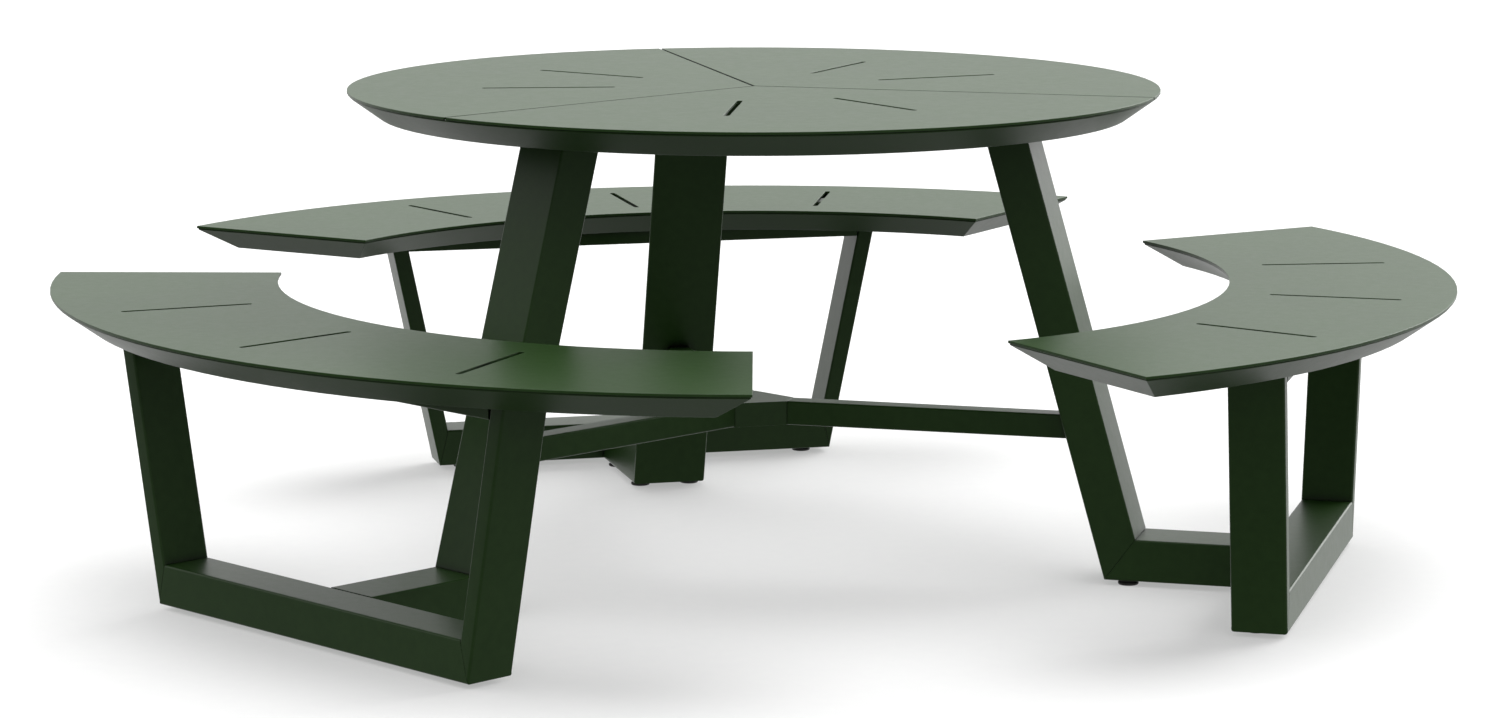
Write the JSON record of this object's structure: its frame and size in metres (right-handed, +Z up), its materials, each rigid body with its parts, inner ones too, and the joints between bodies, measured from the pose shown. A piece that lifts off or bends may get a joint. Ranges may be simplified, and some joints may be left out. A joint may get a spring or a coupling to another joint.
{
  "type": "picnic table",
  "caption": "Round slotted-top metal picnic table with curved seats on splayed box-section frames, joined by a radial brace; every part is fixed.",
  "frame": {"origin": "On the floor, on the axis of the round table top, midway across the whole table in X and Y.", "axes": "+Z is up, along the axis of the round top. The modules stand at 225, 345 and 105 degrees counterclockwise from +X, so -Y is the side seen from the front, between modules a and b."},
  "size_m": [2.1859, 2.1859, 0.75],
  "materials": {
    "green_powder_coat": "satin powder coat with a fine texture",
    "glide_plastic": "matt"
  },
  "bodies": {
    "root": {"table_panel_a": "green_powder_coat", "top_rail_a": "green_powder_coat", "seat_panel_a": "green_powder_coat", "seat_skirt_a": "green_powder_coat", "seat_crossbar_a": "green_powder_coat", "seat_riser_a": "green_powder_coat", "floor_beam_a": "green_powder_coat", "seat_leg_a_right": "green_powder_coat", "seat_leg_a_left": "green_powder_coat", "table_leg_a": "green_powder_coat", "radial_beam_a": "green_powder_coat", "head_plate_a": "green_powder_coat", "brace_a": "green_powder_coat", "table_panel_b": "green_powder_coat", "top_rail_b": "green_powder_coat", "seat_panel_b": "green_powder_coat", "seat_skirt_b": "green_powder_coat", "seat_crossbar_b": "green_powder_coat", "seat_riser_b": "green_powder_coat", "floor_beam_b": "green_powder_coat", "seat_leg_b_right": "green_powder_coat", "seat_leg_b_left": "green_powder_coat", "table_leg_b": "green_powder_coat", "radial_beam_b": "green_powder_coat", "head_plate_b": "green_powder_coat", "brace_b": "green_powder_coat", "table_panel_c": "green_powder_coat", "top_rail_c": "green_powder_coat", "seat_panel_c": "green_powder_coat", "seat_skirt_c": "green_powder_coat", "seat_crossbar_c": "green_powder_coat", "seat_riser_c": "green_powder_coat", "floor_beam_c": "green_powder_coat", "seat_leg_c_right": "green_powder_coat", "seat_leg_c_left": "green_powder_coat", "table_leg_c": "green_powder_coat", "radial_beam_c": "green_powder_coat", "head_plate_c": "green_powder_coat", "brace_c": "green_powder_coat", "table_skirt": "green_powder_coat", "hub": "green_powder_coat", "glide_a_right_1": "glide_plastic", "glide_a_right_2": "glide_plastic", "glide_a_right_3": "glide_plastic", "glide_a_left_1": "glide_plastic", "glide_a_left_2": "glide_plastic", "glide_a_left_3": "glide_plastic", "glide_b_right_1": "glide_plastic", "glide_b_right_2": "glide_plastic", "glide_b_right_3": "glide_plastic", "glide_b_left_1": "glide_plastic", "glide_b_left_2": "glide_plastic", "glide_b_left_3": "glide_plastic", "glide_c_right_1": "glide_plastic", "glide_c_right_2": "glide_plastic", "glide_c_right_3": "glide_plastic", "glide_c_left_1": "glide_plastic", "glide_c_left_2": "glide_plastic", "glide_c_left_3": "glide_plastic"}
  },
  "joints": []
}
